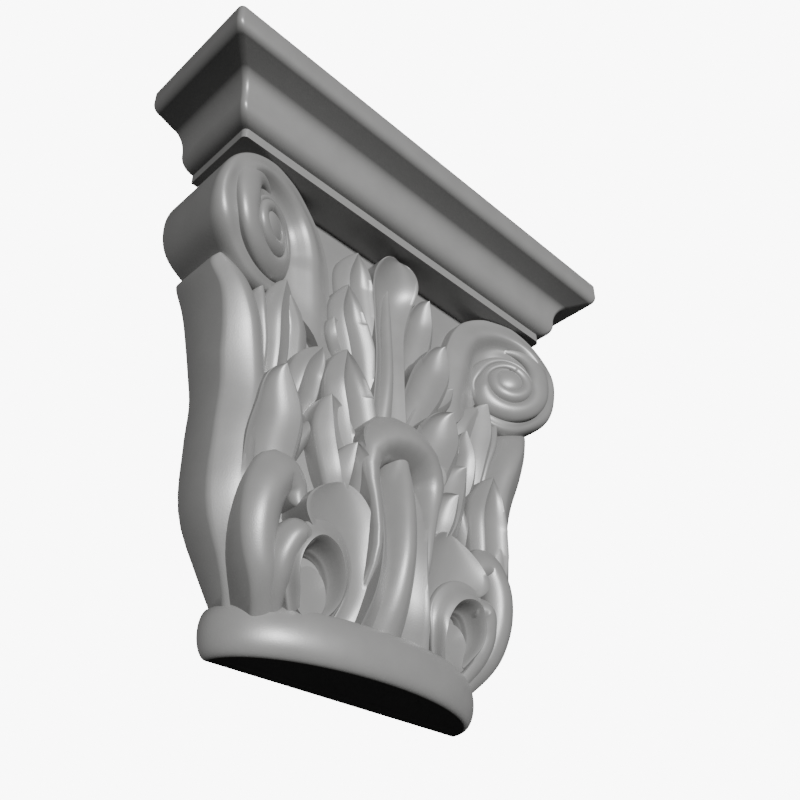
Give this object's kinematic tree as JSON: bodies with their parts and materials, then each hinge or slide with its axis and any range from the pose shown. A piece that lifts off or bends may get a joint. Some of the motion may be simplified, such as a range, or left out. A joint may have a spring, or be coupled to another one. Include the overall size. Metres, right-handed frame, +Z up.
{
  "type": "corinthian pilaster capital",
  "caption": "Flat-backed Corinthian pilaster capital: an acanthus-carved bell with corner scrolls between a half-round astragal and a moulded abacus.",
  "frame": {"origin": "on the underside, below the middle of the block's box", "axes": "+Z up, +Y into the wall behind the flat back, +X along the wall, so that the carving faces -Y"},
  "size_m": [0.3, 0.0764, 0.3],
  "materials": {
    "stone": "matte"
  },
  "bodies": {
    "root": {"capital": "stone"}
  },
  "joints": []
}
